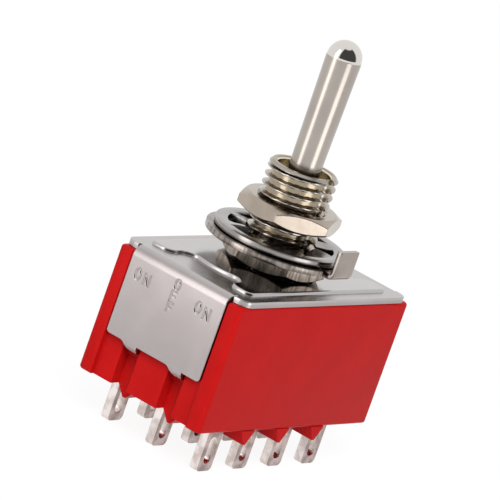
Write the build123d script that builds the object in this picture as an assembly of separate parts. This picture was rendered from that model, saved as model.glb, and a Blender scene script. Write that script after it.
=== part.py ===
from build123d import *
import math
import os

# Miniature four-pole, double-throw panel toggle switch, on - off - on, with solder lugs.
# Millimetres. +Z runs up the lever, +X is the direction the lever is thrown in, +Y is the
# long way of the case. The origin is on the bushing's axis, on the frame's flat top face.

os.makedirs("parts", exist_ok=True)

# Contact pattern
POLES = 4
POLE_PITCH = 4.95        # along Y
THROW_PITCH = 4.9        # along X, between a pole's three lugs

# Case
CASE_BOTTOM = -11.6      # flat underside
CORNER_R = 0.5
CASE_EDGE_R = 0.25       # round the open rim
CASE_FOOT_BEVEL = 0.15   # round the underside
WALL = 1.2               # long walls
END_MARGIN = 4.7         # last pole to the end of the case
FLOOR_T = 3.0
BARRIER_T = 0.7          # between the poles
RECESS_D = 0.5           # end faces, for the frame's flaps
GROOVE_W = 1.7
GROOVE_D = 1.375
GROOVE_LOW_D = 1.725     # the groove is deeper below the crimped tabs
GROOVE_STEP_Z = -8.9
GROOVE_WALL = 0.9        # left behind a groove
RIB_H = 1.25             # underside ribs across the throw
RIB_W = 1.9
RIB_TIP_W = 0.3
CROSS_RIB_H = 0.95       # underside ribs along the poles

# Frame
SHEET_T = 0.55
PLATE_BACK = 0.5         # plate's end to the end of the case
PLATE_CORNER_R = 1.0
LAND_H = 0.25            # raised land pressed into the frame's top
LAND_SIDE = 1.15         # plate's long edge to the land
LAND_END = 1.675         # plate's short edge to the land
LAND_NOTCH_W = 6.1       # the land steps back from each flap over this width
LAND_NOTCH_L = 2.9
LAND_BOW = 0.8           # the stepped-back edge bulges by this
LAND_CORNER_R = 0.7
LAND_BEVEL = 0.12
FLAP_W = 10.1
FLAP_GAP = 0.15          # to the recess, each side
FLAP_BOTTOM = -7.72
FLAP_CORNER_R = 0.35
TAB_GAP = 0.1            # crimped tab's upright side to its groove
TAB_DROP = 0.6
TAB_BEND = 0.22          # the tab runs straight for this far, then leans in
TAB_LEAN = 0.3
TAB_SWEEP = 1.2          # width of the S-shaped side
TAB_FLARE = 0.25         # the sweep starts this far beside the groove
BEND_R = 0.9             # outside radius of the frame's bend

# Lugs
LUG_TIP = -15.7
LUG_W = 2.0
LUG_T = 0.8
LUG_TIP_R = 0.45
LUG_HOLE_W = 0.9
LUG_HOLE_L = 2.4
LUG_HOLE_END = 0.7       # metal left below the hole
LUG_SLOT_GAP = 0.02
LUG_SIDE_GAP = 0.1       # outer lug to the long wall
SHOULDER_W = 2.6
SHOULDER_T = 0.5

# Bushing
THREAD_R = 3.0           # M6 x 0.75, crest
PITCH_R = 2.75           # the same thread at its pitch line, where nuts may sit
RIM_Z = 8.96
RIM_CHAMFER = 0.26
FLANGE_R = 3.9
FLANGE_T = 1.0
BORE_R = 2.3             # at the rim
BORE_LEAD = 0.3
SEAT_R = 1.7             # waist above the ball
WAIST_L = 0.3
BORE_L = 1.6             # straight bore below the rim
LOWER_BORE_R = 2.2       # below the ball
KEYWAY_W = 0.9
KEYWAY_FLOOR = 2.5
FRAME_HOLE_GAP = 0.02

# Lever
PIVOT_Z = 4.6
BALL_R = 2.05
RUN_GAP = 0.05           # between pieces that turn or slide on each other
TRUNNION_R = 0.4         # the ball's two side pins, on the tilt axis
TRUNNION_END = 2.38
LEVER_NECK_R = 1.35
LEVER_NECK_L = 2.5
LEVER_TIP_R = 1.515
DOME_H = 1.49
DOME_STEP = 0.025        # crease below the dome
LEVER_TIP_Z = 20.2
TAIL_TOP_R = 1.25
TAIL_SLIM_Z = -0.5
TAIL_R = 0.75
TAIL_BALL_R = 0.95
TAIL_BALL_Z = -2.6

# Carriage, plungers, springs and rocking contacts
CARRIAGE_W = 3.8
CARRIAGE_TOP = -1.9
CARRIAGE_BOTTOM = -5.0
CARRIAGE_CORNER_R = 0.4
FOOT_H = 1.2
FOOT_SETBACK = 0.4
FOOT_GAP = 0.25          # foot to the end wall
LEDGE_TOP = -4.6
LEDGE_GAP = 0.1          # carriage body to the ledge that its foot slides on
POCKET_GAP = 0.04
POCKET_SPARE = 0.5
PLUNGER_R = 0.8
PLUNGER_NOSE_R = 0.25
PLUNGER_NOSE_H = 0.5
PLUNGER_TOP = -3.9
PLUNGER_WALL = 0.25
PLUNGER_BORE_CEILING = -2.9
PLUNGER_CUP_FLOOR = -5.2
PLUNGER_GAP = 0.04       # nose to the rocking contact
SPRING_WIRE_R = 0.07
SPRING_TURNS = 4
SPRING_FLATS = 14        # straight pieces in a turn
SPRING_END_GAP = 0.02
SPRING_SIDE_GAP = 0.05
ROCKER_DEG = 9.0
ROCKER_TOP = -6.4
ROCKER_T = 0.3
ROCKER_L = 8.9
ROCKER_W = 2.2
ROCKER_CORNER_R = 0.5
EAR_T = 0.2
EAR_W = 1.6
EAR_BOTTOM = -7.6
ROCKER_SIDE_GAP = 0.275  # ear to the ledge
FULCRUM_GAP = 0.05
CONTACT_GAP = 0.05       # left open at full throw
PAD_T = 0.4
PAD_REACH = 1.4          # pad runs this far inwards from its lug's middle

# Nuts and washers
NUT_AF = 8.0
NUT_H = 1.5
NUT_FACE_R = 3.85
NUT_CHAMFER_DEG = 30.0
NUT_LEAD = 0.25
NUT_BORE_GAP = 0.05
NUT_SEAT_GAP = 0.09      # lower nut to the land
UPPER_NUT_Z = 4.38
LOWER_NUT_DEG = 22.4     # one corner's direction from +X
UPPER_NUT_DEG = 51.2
WASHER_HOLE_GAP = 0.12   # to the thread's crest
KEY_WASHER_R = 6.25
KEY_WASHER_T = 0.5
KEY_TAB_OUT = 7.0
KEY_TAB_TOP = 4.4
KEY_TAB_W = 2.5
KEY_TAB_BEND_R = 0.6
KEY_RELIEF_W = 0.35
KEY_RELIEF_D = 0.6
KEY_TOOTH_GAP = 0.05     # each side, in the keyway
KEY_TOOTH_END_GAP = 0.1
LOCK_WASHER_R = 5.65
LOCK_RING_R = 4.6
LOCK_WASHER_T = 0.5
LOCK_TEETH = 8
LOCK_TOOTH_W = 1.3
LOCK_TWIST_DEG = 9.0
LOCK_TURN_DEG = 10.0

# Worked-out values
POLE_YS = [(i - (POLES - 1) / 2) * POLE_PITCH for i in range(POLES)]
RIB_YS = [y + POLE_PITCH / 2 for y in POLE_YS[:-1]]
CASE_W = 2 * (THROW_PITCH + LUG_T / 2 + LUG_SIDE_GAP + WALL)
CASE_L = 2 * (POLE_YS[-1] + END_MARGIN)
CASE_TOP = -SHEET_T
CAVITY_W = CASE_W - 2 * WALL
CAVITY_L = CASE_L - 2 * (GROOVE_D + GROOVE_WALL)
CAVITY_FLOOR = CASE_BOTTOM + FLOOR_T
RECESS_W = FLAP_W + 2 * FLAP_GAP
RECESS_Y = CASE_L / 2 - RECESS_D
GROOVE_X = THROW_PITCH / 2
GROOVE_Y = CASE_L / 2 - GROOVE_D
GROOVE_LOW_Y = CASE_L / 2 - GROOVE_LOW_D
PLATE_L = CASE_L - 2 * PLATE_BACK
LAND_W = CASE_W - 2 * LAND_SIDE
LAND_L = PLATE_L - 2 * LAND_END
FLAP_OUT = RECESS_Y + SHEET_T
NECK_TOP = LAND_H + RUN_GAP
FLANGE_TOP = LAND_H - SHEET_T
FLANGE_BOTTOM = FLANGE_TOP - FLANGE_T
SOCKET_R = BALL_R + RUN_GAP
DOME_Z = LEVER_TIP_Z - DOME_H
LEDGE_Y = POLE_YS[-1] + ROCKER_W / 2 + EAR_T + ROCKER_SIDE_GAP
CARRIAGE_L = 2 * (LEDGE_Y - LEDGE_GAP)
BARRIER_TOP = LEDGE_TOP - 0.8
ROCKER_BOTTOM = ROCKER_TOP - ROCKER_T
FULCRUM_TOP = ROCKER_BOTTOM - FULCRUM_GAP
ROCKER_PIVOT_Z = ROCKER_BOTTOM - FULCRUM_GAP / 2
END_DROP = ROCKER_L / 2 * math.sin(math.radians(ROCKER_DEG))
PAD_TOP = ROCKER_PIVOT_Z + FULCRUM_GAP / 2 - END_DROP - CONTACT_GAP
PLUNGER_TIP = ROCKER_TOP + PLUNGER_GAP
WASHER_HOLE_R = THREAD_R + WASHER_HOLE_GAP
LOWER_NUT_Z = LAND_H + NUT_SEAT_GAP
KEY_WASHER_Z = LOWER_NUT_Z + NUT_H
TOOTH_RISE = LOCK_TOOTH_W / 2 * math.sin(math.radians(LOCK_TWIST_DEG))
LOCK_WASHER_Z = KEY_WASHER_Z + KEY_WASHER_T + TOOTH_RISE
CREST_FROM = UPPER_NUT_Z + NUT_H + RUN_GAP


def block(x, y, z):
    """A box between the low and high values of each axis."""
    size = [high - low for low, high in (x, y, z)]
    middle = [(high + low) / 2 for low, high in (x, y, z)]
    return Pos(*middle) * Box(*size)


def both(value):
    return (-value, value)


def about(middle, width):
    return (middle - width / 2, middle + width / 2)


def lathe(points):
    """A solid of revolution about Z from radius and height pairs."""
    outline = Polyline([(r, 0, z) for r, z in points], close=True)
    return revolve(make_face(outline), Axis.Z)


def rod(radius, low, high, x=0.0, y=0.0):
    height = high - low
    return Pos(x, y, (low + high) / 2) * Cylinder(radius, height)


def pin_along_y(radius, low, high, z):
    return Pos(0, (low + high) / 2, z) * Rot(90, 0, 0) * Cylinder(radius, high - low)


def on_ball(middle_z, radius, degrees):
    """Radius and height of a point on a ball, at an angle above its equator."""
    angle = math.radians(degrees)
    return (radius * math.cos(angle), middle_z + radius * math.sin(angle))


def rib_section(middle, height):
    """Pointed rib below the case as pairs of side place and height."""
    half, tip = RIB_W / 2, RIB_TIP_W / 2
    low = CASE_BOTTOM - height
    top = CASE_BOTTOM
    return [(middle - half, top), (middle + half, top), (middle + tip, low), (middle - tip, low)]


def rib_along_x(y, height):
    face = make_face(Polyline([(0, a, z) for a, z in rib_section(y, height)], close=True))
    return extrude(face, CASE_W / 2, both=True, dir=(1, 0, 0))


def rib_along_y(x, height):
    face = make_face(Polyline([(a, 0, z) for a, z in rib_section(x, height)], close=True))
    return extrude(face, GROOVE_LOW_Y, both=True, dir=(0, 1, 0))


def lug_slots():
    """Where the twelve blades pass through the floor."""
    low = CASE_BOTTOM - RIB_H - 1
    cuts = []
    for y in POLE_YS:
        for k in (-1, 0, 1):
            along_x = about(k * THROW_PITCH, LUG_T + 2 * LUG_SLOT_GAP)
            along_y = about(y, LUG_W + 2 * LUG_SLOT_GAP)
            cuts.append(block(along_x, along_y, (low, CAVITY_FLOOR + 1)))
    return cuts


def bend_relief(side):
    """Sloped edge that lets the frame's inside bend sit down on the case."""
    size = BEND_R - SHEET_T + 0.1
    spare = 0.1
    y = side * RECESS_Y
    points = [
        (0, y + side * spare, CASE_TOP + spare),
        (0, y - side * (size + spare), CASE_TOP + spare),
        (0, y + side * spare, CASE_TOP - size - spare)]
    face = make_face(Polyline(points, close=True))
    return extrude(face, RECESS_W / 2, both=True, dir=(1, 0, 0))


def make_case():
    """Red moulded case: open top, grooved ends, barriers between the poles, ribs underneath."""
    shell = block(both(CASE_W / 2), both(CASE_L / 2), (CASE_BOTTOM, CASE_TOP))
    shell = fillet(shell.edges().filter_by(Axis.Z), CORNER_R)
    rims = shell.edges().group_by(Axis.Z)
    shell = fillet(rims[-1], CASE_EDGE_R)
    shell = chamfer(shell.edges().group_by(Axis.Z)[0], CASE_FOOT_BEVEL)
    for side in (-1, 1):
        outer = side * (CASE_L / 2 + 1)
        recess = sorted((side * RECESS_Y, outer))
        shell -= block(both(RECESS_W / 2), recess, (CASE_BOTTOM - 1, CASE_TOP + 1))
        shell -= bend_relief(side)
        for x in (-GROOVE_X, GROOVE_X):
            for floor, top in ((GROOVE_Y, CASE_TOP + 1), (GROOVE_LOW_Y, GROOVE_STEP_Z)):
                groove = sorted((side * floor, outer))
                shell -= block(about(x, GROOVE_W), groove, (CASE_BOTTOM - 1, top))
    shell -= block(both(CAVITY_W / 2), both(CAVITY_L / 2), (CAVITY_FLOOR, CASE_TOP + 1))
    for side in (-1, 1):
        span = sorted((side * LEDGE_Y, side * CAVITY_L / 2))
        shell += block(both(CAVITY_W / 2), span, (CAVITY_FLOOR, LEDGE_TOP))
    for y in RIB_YS:
        shell += block(both(CAVITY_W / 2), about(y, BARRIER_T), (CAVITY_FLOOR, BARRIER_TOP))
        shell += rib_along_x(y, RIB_H)
    for x in (-GROOVE_X, GROOVE_X):
        shell += rib_along_y(x, CROSS_RIB_H)
    for cut in lug_slots():
        shell -= cut
    return shell


def land_outline(inset):
    """Face of the raised land: a plate that steps back, with a bowed edge, before each flap."""
    half_w = LAND_W / 2 - inset
    half_l = LAND_L / 2 - inset
    notch_w = LAND_NOTCH_W / 2 + inset
    notch_y = half_l - LAND_NOTCH_L
    face = Rectangle(2 * half_w, 2 * half_l)
    for side in (-1, 1):
        a, b = (-notch_w, side * notch_y), (notch_w, side * notch_y)
        c, d = (notch_w, side * (half_l + 1)), (-notch_w, side * (half_l + 1))
        bow = ThreePointArc(a, (0, side * (notch_y + LAND_BOW)), b)
        face -= make_face([bow, Line(b, c), Line(c, d), Line(d, a)])
    return fillet(face.vertices(), LAND_CORNER_R)


def crimped_tab(x):
    """Tab below the +Y flap: straight, then leaning into its groove, with an S-shaped side."""
    z = FLAP_BOTTOM
    low = z - TAB_DROP
    start = z - TAB_BEND
    y_in = FLAP_OUT - SHEET_T
    side_view = [
        (0, FLAP_OUT, z + 0.3), (0, FLAP_OUT, start), (0, FLAP_OUT - TAB_LEAN, low),
        (0, y_in - TAB_LEAN, low), (0, y_in, start), (0, y_in, z + 0.3)]
    strip = extrude(make_face(Polyline(side_view, close=True)), GROOVE_W, both=True, dir=(1, 0, 0))
    left = x - GROOVE_W / 2 - TAB_FLARE
    right = x + GROOVE_W / 2 - TAB_GAP
    bottom_left = (left + TAB_SWEEP, low)
    halfway = (left + TAB_SWEEP / 2, z - TAB_DROP / 2)
    with BuildSketch(Plane.XZ) as outline:
        with BuildLine():
            Line((left, z + 0.3), (left, z))
            hollow = TangentArc((left, z), halfway, tangent=(1, 0))
            TangentArc(halfway, bottom_left, tangent=hollow % 1)
            Polyline(bottom_left, (right, low), (right, z + 0.3), (left, z + 0.3))
        make_face()
    return Pos(x, 0, 0) * strip & extrude(outline.sketch, CASE_L, both=True)


def flap():
    """The +Y wall of the frame, bent down over the case, with two crimped tabs."""
    y_out = FLAP_OUT
    y_in = FLAP_OUT - SHEET_T
    start = y_out - BEND_R - 0.2
    inner_r = BEND_R - SHEET_T
    with BuildSketch(Plane.YZ) as profile:
        with BuildLine():
            Line((start, 0), (y_out - BEND_R, 0))
            RadiusArc((y_out - BEND_R, 0), (y_out, -BEND_R), BEND_R)
            Line((y_out, -BEND_R), (y_out, FLAP_BOTTOM))
            Line((y_out, FLAP_BOTTOM), (y_in, FLAP_BOTTOM))
            Line((y_in, FLAP_BOTTOM), (y_in, -BEND_R))
            RadiusArc((y_in, -BEND_R), (y_out - BEND_R, -SHEET_T), -inner_r)
            Line((y_out - BEND_R, -SHEET_T), (start, -SHEET_T))
            Line((start, -SHEET_T), (start, 0))
        make_face()
    wall = extrude(profile.sketch, FLAP_W / 2, both=True)
    corners = wall.edges().filter_by(Axis.Y).group_by(Axis.Z)[0]
    wall = fillet(corners, FLAP_CORNER_R)
    for x in (-GROOVE_X, GROOVE_X):
        wall += crimped_tab(x)
    return wall


def make_frame():
    """Steel frame: flat top with a raised land and a hole for the bushing, and two flaps."""
    plate = extrude(RectangleRounded(CASE_W, PLATE_L, PLATE_CORNER_R), -SHEET_T)
    frame = plate + flap() + mirror(flap(), Plane.XZ)
    land = extrude(land_outline(0.0), LAND_H)
    frame += chamfer(land.edges().group_by(Axis.Z)[-1], LAND_BEVEL)
    frame -= Pos(0, 0, -SHEET_T) * extrude(land_outline(0.15), LAND_H)
    return frame - rod(THREAD_R + FRAME_HOLE_GAP, -2, 2)


def make_bushing():
    """Threaded bushing with a flange under the frame, a ball seat, pin slots and a keyway."""
    seat_z = PIVOT_Z + math.sqrt(SOCKET_R ** 2 - SEAT_R ** 2)
    outside = lathe([
        (0, FLANGE_BOTTOM), (FLANGE_R, FLANGE_BOTTOM), (FLANGE_R, FLANGE_TOP),
        (THREAD_R, FLANGE_TOP), (THREAD_R, NECK_TOP), (PITCH_R, NECK_TOP),
        (PITCH_R, CREST_FROM), (THREAD_R, CREST_FROM), (THREAD_R, RIM_Z - RIM_CHAMFER),
        (THREAD_R - RIM_CHAMFER, RIM_Z), (0, RIM_Z)])
    throat = lathe([
        (0, PIVOT_Z), (SEAT_R, PIVOT_Z), (SEAT_R, seat_z + WAIST_L), (BORE_R, RIM_Z - BORE_L),
        (BORE_R, RIM_Z - 0.2), (BORE_R + BORE_LEAD, RIM_Z + 0.1), (0, RIM_Z + 0.1)])
    body = outside - throat
    body -= Pos(0, 0, PIVOT_Z) * Sphere(SOCKET_R)
    body -= rod(SOCKET_R, PIVOT_Z - 0.5, PIVOT_Z)
    body -= rod(LOWER_BORE_R, FLANGE_BOTTOM - 1, PIVOT_Z - 0.4)
    slot_r = TRUNNION_R + RUN_GAP
    slot_end = TRUNNION_END + RUN_GAP
    body -= pin_along_y(slot_r, -slot_end, slot_end, PIVOT_Z)
    body -= block(both(slot_r), both(slot_end), (FLANGE_BOTTOM - 1, PIVOT_Z))
    keyway = block((KEYWAY_FLOOR, THREAD_R + 1), both(KEYWAY_W / 2), (NECK_TOP, RIM_Z + 1))
    return body - keyway


def make_lever():
    """Turned bat with a domed tip, a pivot ball with side pins, and a ball at the tail's end."""
    neck_deg = math.degrees(math.acos(LEVER_NECK_R / BALL_R))
    tail_deg = -math.degrees(math.acos(TAIL_TOP_R / BALL_R))
    end_deg = math.degrees(math.acos(TAIL_R / TAIL_BALL_R))
    neck = on_ball(PIVOT_Z, BALL_R, neck_deg)
    tail_top = on_ball(PIVOT_Z, BALL_R, tail_deg)
    tail_end = on_ball(TAIL_BALL_Z, TAIL_BALL_R, end_deg)
    bottom = (0, TAIL_BALL_Z - TAIL_BALL_R)
    neck_end = (LEVER_NECK_R, neck[1] + LEVER_NECK_L)
    shoulder = (LEVER_TIP_R, DOME_Z - DOME_STEP)
    with BuildSketch(Plane.XZ) as profile:
        with BuildLine():
            ThreePointArc((0, LEVER_TIP_Z), on_ball(DOME_Z, DOME_H, 45), (DOME_H, DOME_Z))
            Polyline((DOME_H, DOME_Z), shoulder, neck_end, neck)
            ThreePointArc(neck, (BALL_R, PIVOT_Z), tail_top)
            Polyline(tail_top, (TAIL_R, TAIL_SLIM_Z), tail_end)
            ThreePointArc(tail_end, (TAIL_BALL_R, TAIL_BALL_Z), bottom)
            Line(bottom, (0, LEVER_TIP_Z))
        make_face()
    lever = revolve(profile.sketch, Axis.Z)
    return lever + pin_along_y(TRUNNION_R, -TRUNNION_END, TRUNNION_END, PIVOT_Z)


def make_carriage():
    """Moulded carriage that the lever's tail pushes across the case; it holds the plungers."""
    body = block(both(CARRIAGE_W / 2), both(CARRIAGE_L / 2), (CARRIAGE_BOTTOM, CARRIAGE_TOP))
    body = fillet(body.edges().filter_by(Axis.Z), CARRIAGE_CORNER_R)
    foot_y = CAVITY_L / 2 - FOOT_GAP
    foot_bottom = LEDGE_TOP + RUN_GAP
    foot_x = CARRIAGE_W / 2 - FOOT_SETBACK
    body += block(both(foot_x), both(foot_y), (foot_bottom, foot_bottom + FOOT_H))
    pocket = TAIL_BALL_R + POCKET_GAP
    pocket_floor = TAIL_BALL_Z - TAIL_BALL_R - POCKET_SPARE
    body -= block(both(pocket), both(pocket), (pocket_floor, CARRIAGE_TOP + 1))
    for y in POLE_YS:
        body -= rod(PLUNGER_R + RUN_GAP, CARRIAGE_BOTTOM - 1, PLUNGER_BORE_CEILING, y=y)
    return body


def make_plunger(y):
    """Hollow plunger, closed by a blunt cone at the bottom."""
    inner_r = PLUNGER_R - PLUNGER_WALL
    body = lathe([
        (0, PLUNGER_TIP), (PLUNGER_NOSE_R, PLUNGER_TIP), (PLUNGER_R, PLUNGER_TIP + PLUNGER_NOSE_H),
        (PLUNGER_R, PLUNGER_TOP), (inner_r, PLUNGER_TOP), (inner_r, PLUNGER_CUP_FLOOR),
        (0, PLUNGER_CUP_FLOOR)])
    return Pos(0, y, 0) * body


def make_spring(y):
    """Coil between the plunger's cup and the carriage, drawn with flats as its wire is fine."""
    margin = SPRING_WIRE_R + SPRING_END_GAP
    low = PLUNGER_CUP_FLOOR + margin
    high = PLUNGER_BORE_CEILING - margin
    radius = PLUNGER_R - PLUNGER_WALL - SPRING_WIRE_R - SPRING_SIDE_GAP
    steps = SPRING_TURNS * SPRING_FLATS
    points = []
    for i in range(steps + 1):
        angle = 2 * math.pi * i / SPRING_FLATS
        height = low + (high - low) * i / steps
        points.append((radius * math.cos(angle), radius * math.sin(angle), height))
    path = Polyline(points)
    wire = Plane(origin=path @ 0, z_dir=path % 0) * RegularPolygon(SPRING_WIRE_R, 4)
    return Pos(0, y, 0) * sweep(wire, path=path, transition=Transition.RIGHT)


def make_rocker(y):
    """Rocking contact: a flat strip that tips on its fulcrum, held by two ears."""
    level = (ROCKER_BOTTOM, ROCKER_TOP)
    strip = block(both(ROCKER_L / 2), about(y, ROCKER_W), level)
    strip = fillet(strip.edges().filter_by(Axis.Z), ROCKER_CORNER_R)
    strip += block(both(EAR_W / 2), about(y, ROCKER_W + 2 * EAR_T), level)
    for side in (-1, 1):
        inner = y + side * ROCKER_W / 2
        ear = sorted((inner, inner + side * EAR_T))
        strip += block(both(EAR_W / 2), ear, (EAR_BOTTOM, ROCKER_TOP))
    return strip


def blade(x, y, top):
    """One solder lug with its long hole and round corners, from its tip up to a height."""
    lug = block(about(x, LUG_T), about(y, LUG_W), (LUG_TIP, top))
    tips = lug.edges().filter_by(Axis.X).group_by(Axis.Z)[0]
    lug = fillet(tips, LUG_TIP_R)
    hole_low = LUG_TIP + LUG_HOLE_END
    slot = Plane.YZ * SlotOverall(LUG_HOLE_L, LUG_HOLE_W, rotation=90)
    hole = extrude(slot, LUG_T, both=True)
    return lug - Pos(x, y, hole_low + LUG_HOLE_L / 2) * hole


def shoulder(x, y):
    """Wide step that rests on the case's floor and stops the lug from pulling out."""
    level = (CAVITY_FLOOR, CAVITY_FLOOR + SHOULDER_T)
    return block(about(x, LUG_T), about(y, SHOULDER_W), level)


def make_common_terminal(y):
    """Middle lug: its upper end is the fulcrum that the rocking contact tips on."""
    post = blade(0, y, FULCRUM_TOP)
    tops = post.edges().filter_by(Axis.Y).group_by(Axis.Z)[-1]
    return fillet(tops, LUG_T / 2 - 0.02) + shoulder(0, y)


def make_end_terminal(side, y):
    """Outer lug: its upper end is folded inwards into a contact pad."""
    x = side * THROW_PITCH
    pad_x = sorted((x - side * PAD_REACH, x + side * LUG_T / 2))
    pad = block(pad_x, about(y, ROCKER_W), (PAD_TOP - PAD_T, PAD_TOP))
    return blade(x, y, PAD_TOP) + pad + shoulder(x, y)


def make_nut(z, turn):
    """Thin hexagon nut, chamfered on both faces; the thread is left as a plain bore."""
    corner_r = NUT_AF / math.sqrt(3)
    bore_r = PITCH_R + NUT_BORE_GAP
    drop = (corner_r - NUT_FACE_R) * math.tan(math.radians(NUT_CHAMFER_DEG))
    prism = extrude(RegularPolygon(corner_r, 6, rotation=turn), NUT_H)
    dressed = lathe([
        (0, 0), (NUT_FACE_R, 0), (corner_r, drop), (corner_r + 0.01, drop),
        (corner_r + 0.01, NUT_H - drop), (corner_r, NUT_H - drop), (NUT_FACE_R, NUT_H), (0, NUT_H)])
    hole = lathe([
        (0, -1), (bore_r + NUT_LEAD + 1, -1), (bore_r, NUT_LEAD), (bore_r, NUT_H - NUT_LEAD),
        (bore_r + NUT_LEAD + 1, NUT_H + 1), (0, NUT_H + 1)])
    return Pos(0, 0, z) * ((prism & dressed) - hole)


def key_tab():
    """The locating washer's tab, bent up at the washer's edge."""
    z0, z1 = KEY_WASHER_Z, KEY_WASHER_Z + KEY_WASHER_T
    inner_r = KEY_TAB_BEND_R - KEY_WASHER_T
    x0 = KEY_WASHER_R - KEY_RELIEF_D - 0.3
    x1 = KEY_TAB_OUT - KEY_WASHER_T
    bend_x, bend_z = KEY_TAB_OUT - KEY_TAB_BEND_R, z0 + KEY_TAB_BEND_R
    with BuildSketch(Plane.XZ) as profile:
        with BuildLine():
            Line((x0, z0), (bend_x, z0))
            RadiusArc((bend_x, z0), (KEY_TAB_OUT, bend_z), -KEY_TAB_BEND_R)
            Line((KEY_TAB_OUT, bend_z), (KEY_TAB_OUT, KEY_TAB_TOP))
            Line((KEY_TAB_OUT, KEY_TAB_TOP), (x1, KEY_TAB_TOP))
            Line((x1, KEY_TAB_TOP), (x1, bend_z))
            RadiusArc((x1, bend_z), (bend_x, z1), inner_r)
            Line((bend_x, z1), (x0, z1))
            Line((x0, z1), (x0, z0))
        make_face()
    return extrude(profile.sketch, KEY_TAB_W / 2, both=True)


def make_key_washer():
    """Locating washer: a tooth for the keyway inside and one tab bent up outside."""
    z0, z1 = KEY_WASHER_Z, KEY_WASHER_Z + KEY_WASHER_T
    washer = rod(KEY_WASHER_R, z0, z1) - rod(WASHER_HOLE_R, z0 - 1, z1 + 1)
    tooth_x = (KEYWAY_FLOOR + KEY_TOOTH_END_GAP, WASHER_HOLE_R + 0.5)
    washer += block(tooth_x, both(KEYWAY_W / 2 - KEY_TOOTH_GAP), (z0, z1))
    for side in (-1, 1):
        edge = side * KEY_TAB_W / 2
        relief = sorted((edge, edge + side * KEY_RELIEF_W))
        washer -= block((KEY_WASHER_R - KEY_RELIEF_D, KEY_TAB_OUT + 1), relief, (z0 - 1, z1 + 1))
    return washer + key_tab()


def make_lock_washer():
    """Internal-tooth lock washer: a flat ring whose inner teeth are each twisted a little."""
    z = LOCK_WASHER_Z + LOCK_WASHER_T / 2
    ring = Pos(0, 0, z) * (Cylinder(LOCK_WASHER_R, LOCK_WASHER_T) - Cylinder(LOCK_RING_R, 2))
    reach = LOCK_RING_R + 0.25 - WASHER_HOLE_R
    middle = WASHER_HOLE_R + reach / 2
    for i in range(LOCK_TEETH):
        turn = LOCK_TURN_DEG + i * 360 / LOCK_TEETH
        tooth = Box(reach, LOCK_TOOTH_W, LOCK_WASHER_T - 0.02)
        ring += Pos(0, 0, z) * Rot(0, 0, turn) * Pos(middle, 0, 0) * Rot(LOCK_TWIST_DEG, 0, 0) * tooth
    return ring - rod(WASHER_HOLE_R, z - 1, z + 1)


parts = {
    "case": make_case(),
    "frame": make_frame(),
    "bushing": make_bushing(),
    "lever": make_lever(),
    "carriage": make_carriage(),
    "lower_nut": make_nut(LOWER_NUT_Z, LOWER_NUT_DEG),
    "upper_nut": make_nut(UPPER_NUT_Z, UPPER_NUT_DEG),
    "locating_washer": make_key_washer(),
    "lock_washer": make_lock_washer(),
}
for number, pole_y in enumerate(POLE_YS, start=1):
    parts[f"plunger_{number}"] = make_plunger(pole_y)
    parts[f"spring_{number}"] = make_spring(pole_y)
    parts[f"rocker_{number}"] = make_rocker(pole_y)
    parts[f"common_terminal_{number}"] = make_common_terminal(pole_y)
    parts[f"front_terminal_{number}"] = make_end_terminal(1, pole_y)
    parts[f"rear_terminal_{number}"] = make_end_terminal(-1, pole_y)

for name, shape in parts.items():
    export_step(shape, f"parts/{name}.step")

print("rocker pivot z", round(ROCKER_PIVOT_Z, 4), "carriage travel per radian", PIVOT_Z - TAIL_BALL_Z)
print("case", round(CASE_W, 3), "x", round(CASE_L, 3), "carriage", round(CARRIAGE_L, 3))
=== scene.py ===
import math

import bmesh
import bpy
import numpy as np
from mathutils.geometry import tessellate_polygon
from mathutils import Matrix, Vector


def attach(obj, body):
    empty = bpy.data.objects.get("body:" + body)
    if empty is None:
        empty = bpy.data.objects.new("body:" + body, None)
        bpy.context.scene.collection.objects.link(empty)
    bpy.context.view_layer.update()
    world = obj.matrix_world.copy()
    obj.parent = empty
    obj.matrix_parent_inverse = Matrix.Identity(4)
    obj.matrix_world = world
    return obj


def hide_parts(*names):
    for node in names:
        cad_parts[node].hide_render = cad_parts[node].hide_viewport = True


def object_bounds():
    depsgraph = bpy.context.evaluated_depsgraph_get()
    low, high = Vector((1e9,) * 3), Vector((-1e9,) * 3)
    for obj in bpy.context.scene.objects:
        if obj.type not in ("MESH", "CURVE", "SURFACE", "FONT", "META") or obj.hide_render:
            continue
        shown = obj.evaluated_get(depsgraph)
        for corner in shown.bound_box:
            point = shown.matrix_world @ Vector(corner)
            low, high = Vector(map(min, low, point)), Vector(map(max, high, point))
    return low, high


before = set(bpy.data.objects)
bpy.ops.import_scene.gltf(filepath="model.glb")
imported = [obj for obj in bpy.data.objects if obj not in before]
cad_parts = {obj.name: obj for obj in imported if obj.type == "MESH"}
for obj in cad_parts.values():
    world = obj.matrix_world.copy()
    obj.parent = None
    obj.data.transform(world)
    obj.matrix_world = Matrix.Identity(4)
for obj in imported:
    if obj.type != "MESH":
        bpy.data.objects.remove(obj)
cad_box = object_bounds()
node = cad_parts
scene = bpy.context.scene
MM = 0.001


# ---- Camera
# The photograph's place: a long lens from the front right, a little above, with the
# camera rolled so that the switch leans to the right.
lens = bpy.data.cameras.new("camera")
lens.sensor_width = 36.0
lens.lens = 405.18
lens.clip_start, lens.clip_end = 0.01, 20.0
camera = bpy.data.objects.new("camera", lens)
camera.location = (0.240117, -0.379231, 0.113850)
camera.rotation_euler = [math.radians(a) for a in (75.03272, -19.02580, 37.57369)]
scene.collection.objects.link(camera)
scene.camera = camera


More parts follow.
